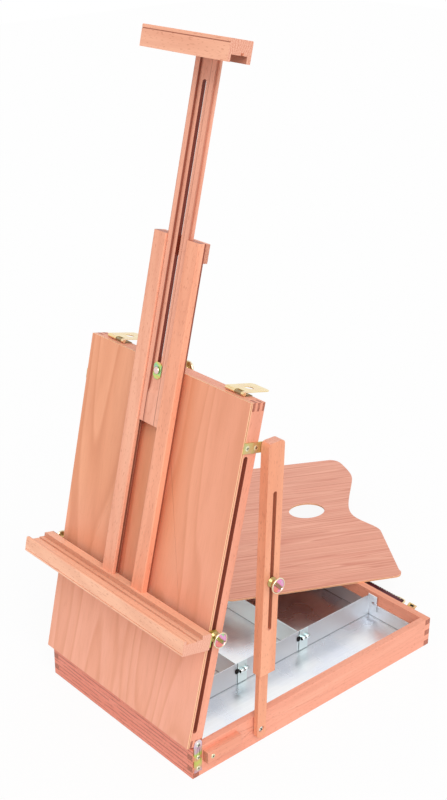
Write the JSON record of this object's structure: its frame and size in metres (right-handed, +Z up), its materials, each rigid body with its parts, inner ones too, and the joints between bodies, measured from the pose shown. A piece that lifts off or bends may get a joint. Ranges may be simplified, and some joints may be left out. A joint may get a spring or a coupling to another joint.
{
  "type": "table-top sketch-box easel",
  "caption": "Wooden table-top sketch-box easel: shallow tray box with hinged lid held by sliding struts, canvas ledge on rails, telescoping clamp mast and palette.",
  "frame": {"origin": "middle of the base's underside, on the table", "axes": "+X to the painter's right, -Y towards the painter, +Z up"},
  "size_m": [0.6452, 0.7874, 0.9286],
  "materials": {
    "beech": "oiled",
    "beech_ply": "oiled",
    "yellow_zinc": "yellow passivated",
    "steel": "zinc plated",
    "tinplate": "bright",
    "leather": "smooth"
  },
  "bodies": {
    "base": {"base_hinge_wall": "beech", "base_far_wall": "beech", "base_left_wall": "beech", "base_right_wall": "beech", "base_bottom": "beech_ply", "tray": "tinplate", "long_divider": "tinplate", "cross_divider_front": "tinplate", "cross_divider_back": "tinplate", "hinge_plate_right": "yellow_zinc", "hinge_plate_left": "yellow_zinc", "base_screws": "steel", "strut_stop_right": "beech", "strut_stop_left": "beech", "strut_pivot_screws": "steel", "strut_washers": "steel", "catch_right": "yellow_zinc", "catch_left": "yellow_zinc", "handle_staples": "yellow_zinc"},
    "lid": {"lid_hinge_wall": "beech", "lid_top_wall": "beech", "lid_left_wall": "beech", "lid_right_wall": "beech", "lid_panel": "beech_ply", "bracket_plate_right": "yellow_zinc", "bracket_plate_left": "yellow_zinc", "lid_screws": "steel", "hinge_pivot_screws": "steel", "latch_leaf_right": "yellow_zinc", "latch_leaf_left": "yellow_zinc", "mast_bolt": "steel", "mast_washer": "steel"},
    "carriage": {"ledge": "beech", "rail_left": "beech", "rail_right": "beech", "rail_batten": "beech", "ledge_bracket_right": "yellow_zinc", "ledge_bracket_left": "yellow_zinc", "ledge_bolts": "steel"},
    "mast": {"mast": "beech", "clamp_head": "beech", "head_block": "beech"},
    "handle": {"handle_strap": "leather", "handle_rings": "steel"},
    "palette": {"palette": "beech_ply"},
    "mast_knob": {"mast_knob": "yellow_zinc"},
    "bar_right": {"strut_bar_right": "beech", "strut_bolt_right": "steel"},
    "upper_right": {"strut_upper_right": "beech"},
    "strut_knob_right": {"strut_knob_right": "yellow_zinc"},
    "ledge_knob_right": {"ledge_knob_right": "yellow_zinc"},
    "flap_right": {"latch_flap_right": "yellow_zinc"},
    "bar_left": {"strut_bar_left": "beech", "strut_bolt_left": "steel"},
    "upper_left": {"strut_upper_left": "beech"},
    "strut_knob_left": {"strut_knob_left": "yellow_zinc"},
    "ledge_knob_left": {"ledge_knob_left": "yellow_zinc"},
    "flap_left": {"latch_flap_left": "yellow_zinc"}
  },
  "joints": [
    {"name": "lid_hinge", "type": "hinge", "parent": "base", "child": "lid", "pos_m": [0, -0.232, 0.055], "axis": [1, 0, 0], "range_deg": [-66, 12]},
    {"name": "carriage_slide", "type": "slide", "parent": "lid", "child": "carriage", "axis": [0, 0.2181, 0.9759], "range_m": [-0.139, 0.215]},
    {"name": "mast_slide", "type": "slide", "parent": "lid", "child": "mast", "axis": [0, 0.2181, 0.9759], "range_m": [-0.215, 0.006]},
    {"name": "mast_knob_turn", "type": "hinge", "parent": "lid", "child": "mast_knob", "pos_m": [0, -0.12292, 0.50863], "axis": [0, 0.9759, -0.2181], "continuous": true},
    {"name": "handle_hinge", "type": "hinge", "parent": "base", "child": "handle", "pos_m": [0, 0.2455, 0.029], "axis": [1, 0, 0], "range_deg": [-95, 42]},
    {"name": "palette_lift", "type": "slide", "parent": "base", "child": "palette", "axis": [0, 0, 1], "range_m": [0, 0.06]},
    {"name": "bar_swing_right", "type": "hinge", "parent": "base", "child": "bar_right", "pos_m": [0.16, -0.124, 0.029], "axis": [1, 0, 0], "range_deg": [-72.8, 13.4]},
    {"name": "strut_extend_right", "type": "slide", "parent": "bar_right", "child": "upper_right", "axis": [0, 0.0171, 0.9999], "range_m": [-0.1108, 0.0203]},
    {"name": "strut_knob_turn_right", "type": "hinge", "parent": "bar_right", "child": "strut_knob_right", "pos_m": [0.174, -0.11994, 0.26657], "axis": [1, 0, 0], "continuous": true},
    {"name": "ledge_knob_turn_right", "type": "hinge", "parent": "carriage", "child": "ledge_knob_right", "pos_m": [0.1598, -0.20566, 0.21409], "axis": [1, 0, 0], "continuous": true},
    {"name": "flap_hinge_right", "type": "hinge", "parent": "lid", "child": "flap_right", "pos_m": [0.118, -0.13515, 0.52038], "axis": [1, 0, 0], "range_deg": [-8, 165]},
    {"name": "bar_swing_left", "type": "hinge", "parent": "base", "child": "bar_left", "pos_m": [-0.16, -0.124, 0.029], "axis": [1, 0, 0], "range_deg": [-72.8, 13.4]},
    {"name": "strut_extend_left", "type": "slide", "parent": "bar_left", "child": "upper_left", "axis": [0, 0.0171, 0.9999], "range_m": [-0.1108, 0.0203]},
    {"name": "strut_knob_turn_left", "type": "hinge", "parent": "bar_left", "child": "strut_knob_left", "pos_m": [-0.174, -0.11994, 0.26657], "axis": [-1, 0, 0], "continuous": true},
    {"name": "ledge_knob_turn_left", "type": "hinge", "parent": "carriage", "child": "ledge_knob_left", "pos_m": [-0.1598, -0.20566, 0.21409], "axis": [-1, 0, 0], "continuous": true},
    {"name": "flap_hinge_left", "type": "hinge", "parent": "lid", "child": "flap_left", "pos_m": [-0.118, -0.13515, 0.52038], "axis": [1, 0, 0], "range_deg": [-8, 165]}
  ],
  "couplings": [
    {"joint": "bar_swing_right", "follows": "lid_hinge", "ratio": 1.1},
    {"joint": "strut_extend_right", "follows": "lid_hinge", "m_per_rad": 0.096},
    {"joint": "bar_swing_left", "follows": "lid_hinge", "ratio": 1.1},
    {"joint": "strut_extend_left", "follows": "lid_hinge", "m_per_rad": 0.096}
  ]
}
